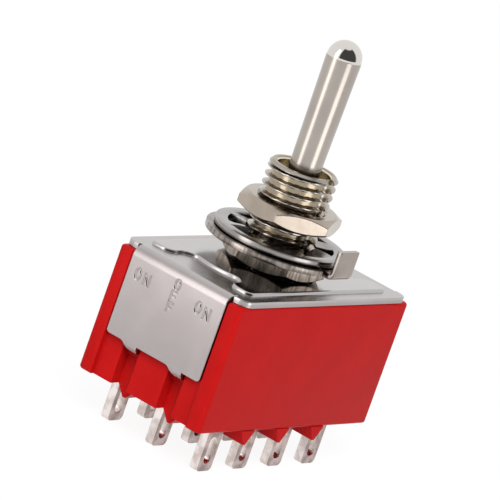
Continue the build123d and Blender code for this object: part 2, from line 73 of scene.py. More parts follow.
# ---- Table, room and lamps
# A white table that the lugs stand on, in a white room whose near end is unlit, one soft key
# lamp, and two soft boxes that only show as reflections, as bright stripes on turned metal.
class Shade:
    """An output of one material's nodes. + - * ** on it add Math nodes; node() adds any other."""

    def __init__(self, tree, socket=None):
        self.tree, self.socket = tree, socket

    def node(self, kind, settings=(), sockets=(), out=0):
        """Adds a node: its settings first, then the value or link of each named socket."""
        made = self.tree.nodes.new(kind)
        for name, value in dict(settings).items():
            setattr(made, name, value)
        for name, value in dict(sockets).items():
            if isinstance(value, Shade):
                self.tree.links.new(value.socket, made.inputs[name])
            else:
                made.inputs[name].default_value = value
        return Shade(self.tree, made.outputs[out] if made.outputs else None)

    def math(self, operation, *values):
        return self.node("ShaderNodeMath", {"operation": operation}, dict(enumerate(values)))

    def __add__(self, other):
        return self.math("ADD", self, other)

    __radd__ = __add__

    def __sub__(self, other):
        return self.math("SUBTRACT", self, other)

    def __rsub__(self, other):
        return self.math("SUBTRACT", other, self)

    def __mul__(self, other):
        return self.math("MULTIPLY", self, other)

    __rmul__ = __mul__

    def __pow__(self, other):
        return self.math("POWER", self, other)

    def step(self, low, high):
        """0 below low and 1 above high, with a smooth turn between them."""
        return self.node(
            "ShaderNodeMapRange", {"interpolation_type": "SMOOTHSTEP"},
            {"Value": self, "From Min": low, "From Max": high})

    def mix(self, a, b):
        """Colour a where this value is 0 and colour b where it is 1."""
        return self.node(
            "ShaderNodeMix", {"data_type": "RGBA"}, {0: self, 6: colour(a), 7: colour(b)}, out=2)


def colour(value):
    """Three numbers as the four that a colour socket holds; a link stays as it is."""
    return value if isinstance(value, Shade) else (*value, 1.0)


def new_tree(owner):
    """Turns on and empties a material's or the world's nodes."""
    owner.use_nodes = True
    owner.node_tree.nodes.clear()
    return Shade(owner.node_tree)


def seen_share(root):
    """1 for what the camera, a mirror or glass sees, and 0 for the light that falls on things."""
    rays = [root.node("ShaderNodeLightPath", out=ray) for ray in
            ("Is Camera Ray", "Is Glossy Ray", "Is Transmission Ray")]
    return rays[0].math("MAXIMUM", rays[0], rays[1].math("MAXIMUM", rays[1], rays[2]))


def dark_end(root):
    """The unlit part of the room, for mirrors only: 1 behind and beside the camera, up to the
    white ceiling, by the compass angle and the height of each direction."""
    way = root.node("ShaderNodeTexCoord", out=0)
    x, y, z = (way.node("ShaderNodeSeparateXYZ", sockets={"Vector": way}, out=i) for i in range(3))
    angle = y.math("ARCTAN2", y, x)
    window = angle.step(-1.62, -1.50) * (1.0 - angle.step(0.35, 0.55)) * (1.0 - z.step(0.88, 0.96))
    return root.node("ShaderNodeLightPath", out="Is Glossy Ray") * window


scene.view_settings.view_transform = "Standard"

FILL, UNLIT = 0.45, 0.93
room = bpy.data.worlds.new("room")
scene.world = room
root = new_tree(room)
strength = FILL + (1.0 - FILL) * seen_share(root) - UNLIT * dark_end(root)
background = root.node("ShaderNodeBackground", sockets={
    "Color": (1, 1, 1, 1), "Strength": strength})
root.node("ShaderNodeOutputWorld", sockets={"Surface": background})

TABLE_Z = float(cad_box[0][2])
TABLE_HALF = 1.5
corner = np.array([(-1, -1), (1, -1), (1, 1), (-1, 1)]) * TABLE_HALF
table_mesh = bpy.data.meshes.new("table")
table_mesh.from_pydata([(x, y, TABLE_Z) for x, y in corner.tolist()], [], [(0, 1, 2, 3)])
table = bpy.data.objects.new("table", table_mesh)
scene.collection.objects.link(table)
paper = bpy.data.materials.new("table_paper")
root = new_tree(paper)
lit = root.node("ShaderNodeBsdfDiffuse", sockets={"Color": (0.86, 0.86, 0.86, 1)})
white = root.node("ShaderNodeEmission", sockets={"Color": (1, 1, 1, 1), "Strength": 1.08})
shown = root.node("ShaderNodeMixShader", sockets={0: 0.85 * seen_share(root), 1: lit, 2: white})
root.node("ShaderNodeOutputMaterial", sockets={"Surface": shown})
table_mesh.materials.append(paper)


def soft_box(name, degrees, distance, low, wide, tall, level, tilt=0.0):
    """An upright lamp at that compass angle, whose lower edge stands at that height; level is
    its own brightness, where 1 is the white of the room."""
    lamp = bpy.data.lights.new(name, "AREA")
    lamp.shape, lamp.size, lamp.size_y = "RECTANGLE", wide, tall
    lamp.energy = math.pi * wide * tall * level
    box = bpy.data.objects.new(name, lamp)
    a = math.radians(degrees)
    box.location = (distance * math.cos(a), distance * math.sin(a), low + tall / 2)
    box.rotation_euler = (math.pi / 2 - math.radians(tilt), 0, a + math.pi / 2)
    box.visible_camera = False
    scene.collection.objects.link(box)
    return box


for box in (soft_box("left_box", -110.5, 0.070, TABLE_Z, 0.026, 0.100, 2.0),
            soft_box("right_box", -10.0, 0.070, TABLE_Z, 0.033, 0.021, 2.1)):
    box.visible_diffuse = False
key = soft_box("key", -54.0, 0.60, 0.30, 0.40, 0.40, 8.76, tilt=40.0)
key.visible_glossy = False


# ---- Case
# One moulded thermoset box in a deep red: satin walls with a very fine grain, a slight
# cloudiness in the colour, and grooved ends that the frame's flaps are crimped into.
def finish(name, slot_nodes):
    """Puts a new material on those CAD nodes; gives the tree and the place to build it with."""
    material = bpy.data.materials.new(name)
    root = new_tree(material)
    place = root.node("ShaderNodeTexCoord", out=3)
    for n in slot_nodes:
        mesh = node[n].data
        mesh.materials.clear()
        mesh.materials.append(material)
    return root, place


def spread(place, scale, detail=3.0, rough=0.5, stretch=(1, 1, 1)):
    """Cloudy noise from 0 to 1, with that many clouds a metre, stretched along each axis."""
    at = place.node("ShaderNodeMapping", {"vector_type": "POINT"},
                    {"Vector": place, "Scale": stretch})
    return at.node("ShaderNodeTexNoise", sockets={
        "Vector": at, "Scale": scale, "Detail": detail, "Roughness": rough})


def wrap_up(root, base, rough, metallic, relief, depth, level=0.5):
    """Joins colour, roughness and relief to the surface; depth is the relief's height in metres."""
    bump = root.node("ShaderNodeBump", sockets={
        "Strength": 1.0, "Distance": depth, "Height": relief})
    skin = root.node("ShaderNodeBsdfPrincipled", sockets={
        "Base Color": base, "Roughness": rough, "Metallic": metallic,
        "Specular IOR Level": level, "Normal": bump})
    root.node("ShaderNodeOutputMaterial", sockets={"Surface": skin})


def parts_of(place):
    """x, y and z of the place, in millimetres."""
    return [place.node("ShaderNodeSeparateXYZ", sockets={"Vector": place}, out=i) * 1000.0
            for i in range(3)]


def eased_copy(name, crease, edge, body):
    """The CAD solid's own surface, in its place, as one welded mesh with its flat faces joined,
    and a modifier that rounds each crease by that edge, in millimetres, as moulding and
    tumbling leave it."""
    source = node[name]
    mesh = bpy.data.meshes.new(name + "_eased")
    work = bmesh.new()
    work.from_mesh(source.data)
    bmesh.ops.remove_doubles(work, verts=work.verts, dist=1e-7)
    bmesh.ops.dissolve_limit(work, angle_limit=math.radians(0.6), verts=work.verts,
                             edges=work.edges, use_dissolve_boundaries=False)
    work.to_mesh(mesh)
    work.free()
    mesh.materials.append(source.data.materials[0])
    mesh.polygons.foreach_set("use_smooth", np.ones(len(mesh.polygons), bool))
    mesh.set_sharp_from_angle(angle=math.radians(crease))
    piece = bpy.data.objects.new(name + "_eased", mesh)
    scene.collection.objects.link(piece)
    bevel = piece.modifiers.new("eased", "BEVEL")
    bevel.width, bevel.segments, bevel.limit_method = edge * MM, 2, "ANGLE"
    bevel.angle_limit = math.radians(crease)
    bevel.harden_normals = True
    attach(piece, body)
    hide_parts(name)


root, place = finish("red_case", ["case"])
cloud = spread(place, 260.0, 4.0)
grain = spread(place, 9000.0, 2.0)
base = cloud.step(0.3, 0.7).mix((0.520, 0.0070, 0.0072), (0.560, 0.0090, 0.0088))
wrap_up(root, base, 0.34 + 0.10 * cloud, 0.0, grain, 4e-6, level=0.05)

eased_copy("case", 40.0, 0.05, "housing")


# ---- Frame
# Pressed from nickel-plated sheet steel: a flat top with a raised land, and two flaps bent
# down over the case and crimped into its grooves. The lever's places are stamped in one flap.
SHEET = 0.55
PLATE_X, PLATE_Y, PLATE_ROUND = 6.6, 11.625, 1.0
BEND_Y, BEND_R = 11.275, 0.9
FLAP_X, FLAP_Y, FLAP_LOW, FLAP_ROUND = 5.05, 12.175, -7.72, 0.35
RELIEF_X = 5.2
HOLE_R, HOLE_POINTS = 3.02, 64
LAND_X, LAND_Y, LAND_TOP = 5.45, 9.95, 0.25
UNDER_LAND, UNDER_INSET = LAND_TOP - SHEET, 0.30
BOW_Y, BOW_R = 1.636, 6.214
EDGE = 0.07
# The two crimped tabs: their middles, their sides from there, the S-shaped side's arcs and
# width, the drop below the flap, and the lean of the lower part.
CRIMPS, CRIMP_LEFT, CRIMP_RIGHT = (-2.45, 2.45), 1.10, 0.75
CRIMP_ARC, CRIMP_HALF, CRIMP_DROP = 0.75, 0.6, 0.6
CRIMP_BEND, CRIMP_LEAN = 0.22, 0.3


def arc(x, y, radius, start, end, count):
    """Points round a middle, at equal angles between two bearings in degrees."""
    turn = np.radians(np.linspace(start, end, count))
    return np.stack([x + radius * np.cos(turn), y + radius * np.sin(turn)], axis=1)


def four_ways(quarter):
    """A closed outline from the quarter that runs from the +y axis to the +x axis."""
    back = quarter[::-1]
    turns = (quarter, back * (1, -1), quarter * (-1, -1), back * (-1, 1))
    return np.concatenate([q[:-1] for q in turns])


def outward(outline):
    """Unit normals of a closed clockwise outline: its tangent, the next point less the last,
    turned to the left."""
    along = np.roll(outline, -1, axis=0) - np.roll(outline, 1, axis=0)
    along /= np.linalg.norm(along, axis=1, keepdims=True)
    return np.stack([-along[:, 1], along[:, 0]], axis=1)


def carried(outline, profile, share=1.0):
    """A profile of inset and height carried along a closed outline, as a grid of points: each
    row is the outline moved in by one inset, and raised to its height."""
    profile = np.array(profile)
    inset = profile[:, 0][:, None, None] * (outward(outline) * share)[None]
    flat = outline[None] - inset
    height = np.broadcast_to(profile[:, 1][:, None, None], flat.shape[:2] + (1,))
    return np.concatenate([flat, height], axis=2)


def quads(points, close_rows=False):
    """Points and four-sided faces of a grid that is closed round the columns, and where asked
    down the rows too."""
    rows, columns = points.shape[:2]
    index = np.arange(rows * columns).reshape(rows, columns)
    if close_rows:
        index = np.concatenate([index, index[:1]], axis=0)
    index = np.concatenate([index, index[:, :1]], axis=1)
    faces = np.stack([index[:-1, :-1], index[:-1, 1:], index[1:, 1:], index[1:, :-1]], axis=-1)
    return points.reshape(-1, 3), faces.reshape(-1, 4).tolist()


def flat_fill(outer, hole, z):
    """Triangles of the flat between an outline and a hole, at one height."""
    loops = [[(*p, 0.0) for p in loop.tolist()] for loop in (outer, hole)]
    points = np.concatenate([outer, hole])
    height = np.full((len(points), 1), z)
    return np.concatenate([points, height], axis=1), [list(t) for t in tessellate_polygon(loops)]


def strip_fill(count, start=0):
    """Faces across a loop of points whose second half runs back beside the first."""
    i = np.arange(count // 2 - 1)
    pairs = [i, i + 1, count - 2 - i, count - 1 - i]
    return (np.stack(pairs, axis=1) + start).tolist()


def welded(name, shells):
    """One mesh of closed shells, each a list of points and faces in millimetres; each shell is
    merged at its seams and its faces are turned outwards before the next is added."""
    whole = bmesh.new()
    for patches in shells:
        work = bmesh.new()
        for points, faces in patches:
            part = bpy.data.meshes.new("part")
            part.from_pydata((np.asarray(points) * MM).tolist(), [], faces)
            work.from_mesh(part)
            bpy.data.meshes.remove(part)
        bmesh.ops.remove_doubles(work, verts=work.verts, dist=2e-7)
        bmesh.ops.recalc_face_normals(work, faces=work.faces)
        part = bpy.data.meshes.new("part")
        work.to_mesh(part)
        work.free()
        whole.from_mesh(part)
        bpy.data.meshes.remove(part)
    mesh = bpy.data.meshes.new(name)
    whole.to_mesh(mesh)
    whole.free()
    return mesh


def add_piece(name, mesh, body, cad_name, crease=35.0):
    """Links a finished mesh, smooth up to that crease, in the place of a CAD node: it takes the
    node's material and rides on a body."""
    mesh.materials.append(node[cad_name].data.materials[0])
    mesh.polygons.foreach_set("use_smooth", np.ones(len(mesh.polygons), bool))
    mesh.set_sharp_from_angle(angle=math.radians(crease))
    piece = bpy.data.objects.new(name, mesh)
    scene.collection.objects.link(piece)
    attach(piece, body)
    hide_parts(cad_name)


def letter(shape, x, z, half_x=0.28, half_z=0.45):
    """Strokes of one capital, as pairs of end points on the flap."""
    if shape == "O":
        ring = arc(0, 0, 1, 0, 360, 17) * (half_x, half_z) + (x, z)
        return list(zip(ring[:-1], ring[1:]))
    left, right, low, top = x - half_x, x + half_x, z - half_z, z + half_z
    if shape == "N":
        bends = [(left, low), (left, top), (right, low), (right, top)]
        return list(zip(bends[:-1], bends[1:]))
    bars = [((left, top), (right, top)), ((left, z), (right - 0.08, z))]
    return [((left, low), (left, top)), *bars]


WORDS = (letter("O", -3.92, -2.14) + letter("N", -2.92, -2.26)
         + letter("O", 0.06, -1.33, 0.25, 0.42) + letter("F", 0.0, -2.38, 0.25, 0.40)
         + letter("F", -0.02, -3.36, 0.25, 0.40)
         + letter("O", 2.62, -2.19) + letter("N", 3.60, -2.32))
# Where the flap's grid is close enough to hold the stamped strokes.
WORD_SPANS = ((-4.34, -2.50), (-0.40, 0.44), (2.20, 4.02))
WORD_ROWS, FINE = (-0.93, -3.92), 0.030
FACE_LOW = -6.6


def stamped(x, z, width=0.21, depth=0.06):
    """Depth of the stamped strokes by the distance to the nearest one: flat along a stroke's
    middle, and rising smoothly to nothing at half its width."""
    nearest = np.full(np.broadcast(x, z).shape, 9.0)
    for (ax, az), (bx, bz) in WORDS:
        run = np.array([bx - ax, bz - az])
        t = np.clip(((x - ax) * run[0] + (z - az) * run[1]) / (run @ run), 0, 1)
        nearest = np.minimum(nearest, np.hypot(x - ax - t * run[0], z - az - t * run[1]))
    t = np.clip((width / 2 - nearest) / 0.075, 0, 1)
    return depth * t * t * (3 - 2 * t)


def flap_low(x):
    """Lower edge of a flap along x: round corners, and two crimped tabs with an S-shaped left
    side, two equal arcs, and an upright right side."""
    low = np.full(x.shape, FLAP_LOW)
    past = np.clip(np.abs(x) - (FLAP_X - FLAP_ROUND), 0, FLAP_ROUND)
    low = low + FLAP_ROUND - np.sqrt(FLAP_ROUND ** 2 - past ** 2)
    for middle in CRIMPS:
        left, right = middle - CRIMP_LEFT, middle + CRIMP_RIGHT
        into, out_of = (np.clip(run, 0, CRIMP_HALF)
                        for run in (x - left, left + 2 * CRIMP_HALF - x))
        first = CRIMP_ARC - np.sqrt(CRIMP_ARC ** 2 - into ** 2)
        second = CRIMP_ARC - np.sqrt(CRIMP_ARC ** 2 - out_of ** 2)
        swept = np.where(x < left + CRIMP_HALF, FLAP_LOW - first, FLAP_LOW - CRIMP_DROP + second)
        low = np.where((x >= left) & (x <= right), swept, low)
    return low


def flap_shell(side, words):
    """One flap with its bend as a closed shell. Rows run down the bend and the face; columns
    run across the outside and back across the inside, one sheet thickness in along the normal.
    The outside dips by the stamped strokes and rounds off at the edges."""
    near_ends = FLAP_X - EDGE * (1 - np.sin(np.radians(np.linspace(0, 90, 5))))
    corners = FLAP_X - FLAP_ROUND * (1 - np.sin(np.radians(np.linspace(0, 80, 7))))
    stations = [np.linspace(-4.6, 4.6, 40), near_ends, -near_ends, corners, -corners]
    for middle in CRIMPS:
        left, right = middle - CRIMP_LEFT, middle + CRIMP_RIGHT
        stations += [np.linspace(left, left + 2 * CRIMP_HALF, 25), [right - 0.001, right + 0.007]]
    if words:
        stations += [np.arange(start, stop, FINE) for start, stop in WORD_SPANS]
    x = np.unique(np.round(np.concatenate(stations), 4))
    bend = np.radians(np.linspace(0, 90, 15))
    face = np.arange(*WORD_ROWS, -FINE) if words else np.linspace(-1.5, -3.9, 4)
    face = np.concatenate([face, np.linspace(-4.2, FACE_LOW, 5)])
    y_bend = BEND_Y + BEND_R * np.sin(bend)
    z_bend = -BEND_R + BEND_R * np.cos(bend)
    share = np.linspace(0.1, 0.93, 12)
    low = flap_low(x)
    z_low = FACE_LOW + (low - FACE_LOW)[None, :] * share[:, None]
    turn = np.radians(np.linspace(0, 90, 6))[:, None]
    z_end = low[None, :] + EDGE * (1 - np.sin(turn))
    upper = np.concatenate([z_bend, face])[:, None] + 0 * x[None, :]
    z = np.concatenate([upper, z_low, z_end])
    sine = np.concatenate([np.sin(bend), np.ones(len(z) - len(bend))])[:, None]
    cosine = np.concatenate([np.cos(bend), np.zeros(len(z) - len(bend))])[:, None]
    y = np.concatenate([y_bend, np.full(len(z) - len(bend), FLAP_Y)])[:, None] + 0 * z
    lean = CRIMP_LEAN * np.clip((FLAP_LOW - CRIMP_BEND - z) / (CRIMP_DROP - CRIMP_BEND), 0, 1)
    past = np.clip(np.abs(x) - (FLAP_X - EDGE), 0, EDGE)[None, :]
    dip = EDGE - np.sqrt(EDGE ** 2 - past ** 2) + 0 * z
    dip[-len(turn):] = np.maximum(dip[-len(turn):], EDGE * (1 - np.cos(turn)))
    if words:
        dip = dip + stamped(x[None, :], z)
    outer = np.stack([x[None, :] + 0 * z, y - dip * sine - lean, z - dip * cosine], axis=-1)
    inner = np.stack([x[None, :] + 0 * z, y - SHEET * sine - lean, z - SHEET * cosine], axis=-1)
    grid = np.concatenate([outer, inner[:, ::-1]], axis=1) * (1, side, 1)
    points, faces = quads(grid)
    count = grid.shape[1]
    faces += strip_fill(count) + strip_fill(count, (len(grid) - 1) * count)
    return [(points, faces)]


plate_quarter = np.concatenate([
    [(0, BEND_Y), (2.5, BEND_Y), (FLAP_X, BEND_Y), (RELIEF_X, BEND_Y), (RELIEF_X, PLATE_Y)],
    arc(PLATE_X - PLATE_ROUND, PLATE_Y - PLATE_ROUND, PLATE_ROUND, 90, 0, 19),
    [(PLATE_X, 8.0), (PLATE_X, 4.0), (PLATE_X, 0)]])
# The land's quarter outline: the bowed edge before the flap, the turn out of it, the corner
# beside the flap, and the land's own corner.
land_quarter = np.concatenate([
    arc(0, BOW_Y, BOW_R, 90, 73.49, 22), arc(2.05, 8.553, 1.0, -106.51, 0, 20)[1:],
    arc(4.15, LAND_Y - 1.1, 1.1, 180, 90, 20), arc(LAND_X - 0.7, LAND_Y - 0.7, 0.7, 90, 0, 15),
    [(LAND_X, 5.0), (LAND_X, 0)]])
plate_outline, land_outline = four_ways(plate_quarter), four_ways(land_quarter)
rolled = ((np.abs(plate_outline[:, 1]) > BEND_Y + 0.01)
          | (np.abs(plate_outline[:, 0]) > FLAP_X + 0.01))
hole = arc(0, 0, HOLE_R, 0, 360, HOLE_POINTS + 1)[:-1]
turn = np.radians(np.linspace(0, 90, 5))
round_over = [(EDGE + 0.03, 0.0)]
round_over += [(EDGE * (1 - np.sin(a)), -EDGE * (1 - np.cos(a))) for a in turn]
wall = carried(plate_outline, round_over + [(0.0, -0.3), (0.0, -SHEET + 0.05), (0.05, -SHEET)],
               rolled[:, None])
shoulder = [(-0.02, 0.0), (0.0, 0.02), (0.02, 0.08), (0.045, 0.15), (0.085, 0.205), (0.14, 0.24),
            (0.19, 0.25), (0.22, 0.25)]
rise = carried(land_outline, shoulder)
recess = carried(land_outline, [(UNDER_INSET, UNDER_LAND), (UNDER_INSET, -SHEET)])
bore = np.stack([np.concatenate([hole, np.full((HOLE_POINTS, 1), z)], axis=1)
                 for z in (UNDER_LAND, LAND_TOP)])
steel_sheet = welded("pressed_frame", [
    [quads(wall), quads(rise), quads(bore), quads(recess),
     flat_fill(wall[0, :, :2], rise[0, :, :2], 0.0), flat_fill(rise[-1, :, :2], hole, LAND_TOP),
     flat_fill(recess[0, :, :2], hole, UNDER_LAND),
     flat_fill(wall[-1, :, :2], recess[-1, :, :2], -SHEET)],
    flap_shell(-1, True), flap_shell(1, False)])

root, place = finish("frame_steel", ["frame"])
z = parts_of(place)[2]
on_land = z.step(0.20, 0.245)
# Painted shade: the flap and its bend take a darker copy of the plate's colour, for how the light
# falls on them.
flap_painted_shade = 1.0 - z.step(-0.35, -0.03)
rolled_lines = spread(place, 700.0, 3.0, 0.6, (1, 12, 1))
cloud = spread(place, 350.0, 3.0)
base = cloud.step(0.3, 0.7).mix((0.465, 0.440, 0.436), (0.490, 0.465, 0.461))
base = flap_painted_shade.mix(base, cloud.step(0.3, 0.7).mix((0.375, 0.337, 0.331), (0.400, 0.362, 0.356)))
wrap_up(root, base, 0.22 - 0.15 * on_land + 0.08 * cloud, 1.0, rolled_lines, 1e-6)
add_piece("pressed_frame", steel_sheet, "housing", "frame", crease=30.0)


# ---- Lugs and contacts
# Silver-plated brass strip, blanked and left as plated, with fine draw lines along each blade.
# Its colour holds painted shade, darker and browner, on the wide faces, and a painted highlight on
# the narrow sheared ones.
poles = range(1, 5)
lugs = [f"{kind}_terminal_{i}" for kind in ("common", "front", "rear") for i in poles]
root, place = finish("lug_silver", lugs)
drawn = spread(place, 2200.0, 3.0, 0.6, (1, 1, 0.12))
cloud = spread(place, 1100.0, 3.0)
# The colour follows the way each face looks: painted shade on the wide faces, a painted highlight
# on the narrow ones.
facing = root.node("ShaderNodeNewGeometry", out=1)
side_on = facing.node("ShaderNodeSeparateXYZ", sockets={"Vector": facing}, out=0)
wide = side_on.math("ABSOLUTE", side_on).step(0.5, 0.9)
narrow_face_painted_highlight = cloud.step(0.35, 0.65).mix((0.60, 0.52, 0.49), (0.84, 0.76, 0.73))
wide_face_painted_shade = cloud.step(0.35, 0.65).mix((0.29, 0.225, 0.21), (0.52, 0.425, 0.405))
wrap_up(root, wide.mix(narrow_face_painted_highlight, wide_face_painted_shade), 0.20 + 0.18 * cloud, 1.0, drawn, 3e-6)
for name in lugs:
    eased_copy(name, 50.0, 0.06, "housing")

root, place = finish("contact_silver", [f"rocker_{i}" for i in poles])
rubbed = spread(place, 1500.0, 3.0, 0.6, (0.15, 1, 1))
base = rubbed.step(0.3, 0.7).mix((0.62, 0.61, 0.58), (0.72, 0.71, 0.68))
wrap_up(root, base, 0.25 + 0.15 * rubbed, 1.0, rubbed, 3e-6)


# ---- Carriage, plungers and springs
# Dark moulded nylon carriage, pale acetal plungers and drawn spring wire, all inside the
# case, where they are only seen when it is opened.
root, place = finish("dark_nylon", ["carriage"])
cloud = spread(place, 900.0, 3.0)
base = cloud.step(0.3, 0.7).mix((0.030, 0.030, 0.032), (0.045, 0.045, 0.046))
wrap_up(root, base, 0.5 + 0.15 * cloud, 0.0, cloud, 4e-6)

root, place = finish("white_nylon", [f"plunger_{i}" for i in poles])
cloud = spread(place, 1200.0, 3.0)
base = cloud.step(0.3, 0.7).mix((0.78, 0.76, 0.70), (0.84, 0.82, 0.77))
wrap_up(root, base, 0.35 + 0.15 * cloud, 0.0, cloud, 3e-6)

root, place = finish("spring_wire", [f"spring_{i}" for i in poles])
cloud = spread(place, 3000.0, 3.0)
base = cloud.step(0.3, 0.7).mix((0.42, 0.42, 0.43), (0.55, 0.55, 0.56))
wrap_up(root, base, 0.25 + 0.15 * cloud, 1.0, cloud, 2e-6)


# ---- Bushing
# Turned brass, nickel-plated, with a rolled M6 x 0.75 thread and a keyway milled down one side.
# Its colour holds a brown painted shade in the thread's roots and the bore, a painted highlight on
# the keyway's floor, and painted light at the top of the bore.
CREST_R, NUT_CREST_R, ROOT_R = 3.0, 2.78, 2.54
PITCH = 0.75
RIM_Z, RIM_CHAMFER = 8.96, 0.26
NUT_SPANS = ((0.34, 1.84), (4.38, 5.88))
KEY_HALF, KEY_FLOOR = 0.45, 2.5
THREAD_LOW, RIM_LAND, LAND_FADE = 0.32, 0.28, 0.15
SEAT_Z, SOCKET_R = 4.6, 2.1
PIN_SLOT, PIN_SLOT_END = 0.46, 2.43
FLANGE_R, FLANGE_LOW, FLANGE_TOP, COLLAR_TOP = 3.9, -1.30, -0.30, 0.30
BORE_R, BORE_LEAD, BORE_DEEP = 2.3, 0.2, 1.6
WAIST_R, WAIST_Z, SKIRT_R, SKIRT_Z = 1.725, 6.08, 2.2, 4.2


def thread_radius(angle, z):
    """Radius of the thread: the root plus a rounded tooth whose height rises and falls once a
    pitch, turned by the angle. The crest is kept low inside the nuts, the roots fill up at the
    rim, and the rim has a chamfer."""
    phase = (z / PITCH - angle / (2 * np.pi)) % 1.0
    tooth = np.clip(1.35 - 5.4 * np.abs(phase - 0.5), 0.0, 1.0)
    tooth = tooth * tooth * (3 - 2 * tooth)
    crest = np.full(z.shape, CREST_R)
    for low, high in NUT_SPANS:
        crest = np.where((z > low - 0.02) & (z < high + 0.05), NUT_CREST_R, crest)
    r = ROOT_R + (crest - ROOT_R) * tooth
    chamfer = CREST_R - RIM_CHAMFER + (RIM_Z - z)
    lead = np.clip((RIM_Z - RIM_LAND - z) / LAND_FADE, 0.0, 1.0)
    return np.minimum(np.maximum(r, CREST_R - 0.02 - 10 * lead), chamfer)


def bushing_grid(turns, rows):
    """The bushing as one closed skin. Down the rows: up the outside from the flange to the
    rim, then down the bore and its ball seat. Round the columns: the threaded arc, then across
    the keyway, where the outside is cut flat at the keyway's floor. Two slots for the lever's
    cross pin, round at the top, run down the bore at either end of y."""
    low = [(CREST_R, FLANGE_LOW), (FLANGE_R, FLANGE_LOW), (FLANGE_R, FLANGE_TOP),
           (CREST_R, FLANGE_TOP), (CREST_R, COLLAR_TOP), (ROOT_R, COLLAR_TOP)]
    z_out = np.linspace(THREAD_LOW, RIM_Z, rows)
    ball = [(math.sqrt(SOCKET_R ** 2 - (z - SEAT_Z) ** 2), z)
            for z in (5.8, 5.6, 5.4, 5.2, 5.1, 5.05, 5.0, 4.95, 4.88, 4.8, 4.7, 4.6)]
    bore = [(BORE_R + BORE_LEAD, RIM_Z), (BORE_R, RIM_Z - BORE_LEAD), (BORE_R, RIM_Z - BORE_DEEP),
            (WAIST_R, WAIST_Z), *ball,
            (SOCKET_R, SKIRT_Z + 0.01), (SKIRT_R, SKIRT_Z - 0.01), (SKIRT_R, FLANGE_LOW)]
    fixed_r = np.array([p[0] for p in low] + [0] * rows + [p[0] for p in bore])
    z = np.array([p[1] for p in low] + list(z_out) + [p[1] for p in bore])
    threaded = np.zeros(len(z), bool)
    threaded[len(low):len(low) + rows] = True
    cut = threaded.copy()
    cut[len(low) - 1] = True
    share = np.linspace(0.0, 1.0, turns)[None, :]
    zz = z[:, None] + 0 * share
    r = fixed_r[:, None] + 0 * share
    for _ in range(3):
        edge = np.arcsin(np.clip(KEY_HALF / np.maximum(r, 1.0), -1, 1))
        angle = edge + (2 * np.pi - 2 * edge) * share
        r = np.where(threaded[:, None], thread_radius(angle, zz), r)
    inside = (np.arange(len(z)) >= len(low) + rows)[:, None]
    half = np.sqrt(np.clip(PIN_SLOT ** 2 - np.clip(zz - SEAT_Z, 0, None) ** 2, 0, None))
    in_slot = inside & (np.abs(BORE_R * np.cos(angle)) < half)
    r = np.where(in_slot, PIN_SLOT_END / np.maximum(np.abs(np.sin(angle)), 0.5), r)
    arc_part = np.stack([r * np.cos(angle), r * np.sin(angle), zz], axis=-1)
    across = np.linspace(-KEY_HALF, KEY_HALF, 7)[None, :]
    r_end = np.where(threaded, r[:, -1], fixed_r)[:, None]
    reach = np.sqrt(np.maximum(r_end ** 2 - across ** 2, 0))
    x = np.where(cut[:, None], np.minimum(reach, KEY_FLOOR), reach)
    slot = np.stack([x, across + 0 * x, z[:, None] + 0 * x], axis=-1)
    return np.concatenate([arc_part, slot], axis=1)


PUNCHED_R = 6.28    # no punch's marks beyond it, on the washer's tab


def ring_finish(name, slot_nodes, low, high, rough, painted_root_shade=None, lines=14.0, painted_shade_below=None,
                marks=None):
    """Nickel with fine turning lines round the axis. Where asked: a brown painted shade in the
    thread's roots and the bore, a painted highlight on the keyway's floor and painted light at the
    top of the bore; painted shade, a share of the colour, on the faces that look down; and a
    punch's upright marks of that depth, out to the washers' rim."""
    root, place = finish(name, slot_nodes)
    x, y, z = parts_of(place)
    r = (x * x + y * y) ** 0.5
    cloud = spread(place, 500.0, 3.0)
    rings = root.node("ShaderNodeCombineXYZ", sockets={0: r * 0.9, 1: 0.0, 2: z * 1.4})
    turned = root.node("ShaderNodeTexNoise", sockets={
        "Vector": rings, "Scale": lines, "Detail": 2.0, "Roughness": 0.6})
    depth = 4e-6
    base = cloud.step(0.3, 0.7).mix(low, high)
    # Painted shade, brown, inside a radius of 2.62 mm, in the thread's roots and the bore; then a
    # painted highlight on the keyway's floor and painted light at the top of the bore.
    if painted_root_shade:
        base = r.step(2.62, 2.95).mix(painted_root_shade, base)
        keyway_painted_highlight = x.step(KEY_FLOOR - 0.08, KEY_FLOOR - 0.04)
        keyway_painted_highlight = keyway_painted_highlight * (1.0 - x.step(KEY_FLOOR + 0.01, KEY_FLOOR + 0.05))
        keyway_painted_highlight = keyway_painted_highlight * y.step(-0.15, -0.05) * (1.0 - y.step(0.15, 0.25))
        base = keyway_painted_highlight.mix(base, (0.85, 0.83, 0.79))
        bore = z.step(7.0, 8.2) * (1.0 - r.step(2.36, 2.44))
        base = bore.mix(base, (0.72, 0.66, 0.54))
    # Painted shade: the faces that look down take only a share of the colour.
    if painted_shade_below:
        facing = root.node("ShaderNodeNewGeometry", out=1)
        down = facing.node("ShaderNodeSeparateXYZ", sockets={"Vector": facing}, out=2)
        base = down.step(-0.8, -0.5).mix(tuple(c * painted_shade_below for c in low), base)
    if marks:
        turned, depth = spread(place, 2600.0, 2.0, 0.7, (1, 1, 0.1)), marks
        plain = r.step(PUNCHED_R, PUNCHED_R + 0.06)
        base = (turned.step(0.38, 0.60) + plain).mix(tuple(c * 0.6 for c in low), base)
    wrap_up(root, base, rough + 0.08 * cloud, 1.0, turned, depth)


ring_finish("bushing_nickel", ["bushing"], (0.37, 0.34, 0.305), (0.44, 0.41, 0.37), 0.15,
            painted_root_shade=(0.335, 0.275, 0.20))
add_piece("threaded_bushing", welded("threaded_bushing", [[quads(bushing_grid(120, 200), True)]]),
          "housing", "bushing")


